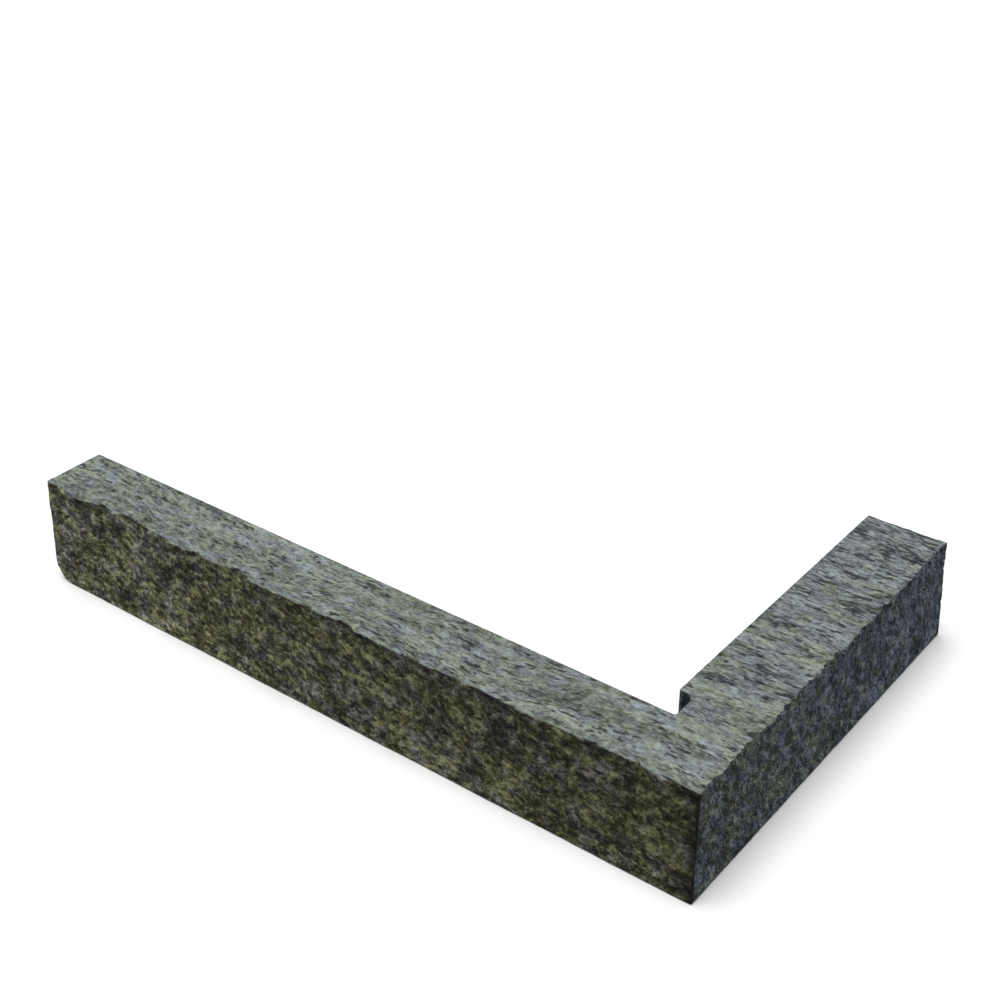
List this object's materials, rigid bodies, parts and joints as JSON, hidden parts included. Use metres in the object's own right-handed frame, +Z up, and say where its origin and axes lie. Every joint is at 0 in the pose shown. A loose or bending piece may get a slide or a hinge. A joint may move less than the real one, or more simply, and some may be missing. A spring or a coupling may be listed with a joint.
{
  "type": "stone veneer corner",
  "caption": "L-shaped corner unit of foliated grey-green stone with riven outer faces and sawn beds and backs, for turning a clad wall round an outside corner.",
  "frame": {"origin": "on the lower bed, under the middle of the outline", "axes": "+X along the long leg towards the outer corner, +Y along the return away from the outer corner, +Z up through the course"},
  "size_m": [0.334, 0.201, 0.05],
  "materials": {
    "stone": "riven faces, sawn beds and backs"
  },
  "bodies": {
    "root": {"stone_corner": "stone"}
  },
  "joints": []
}
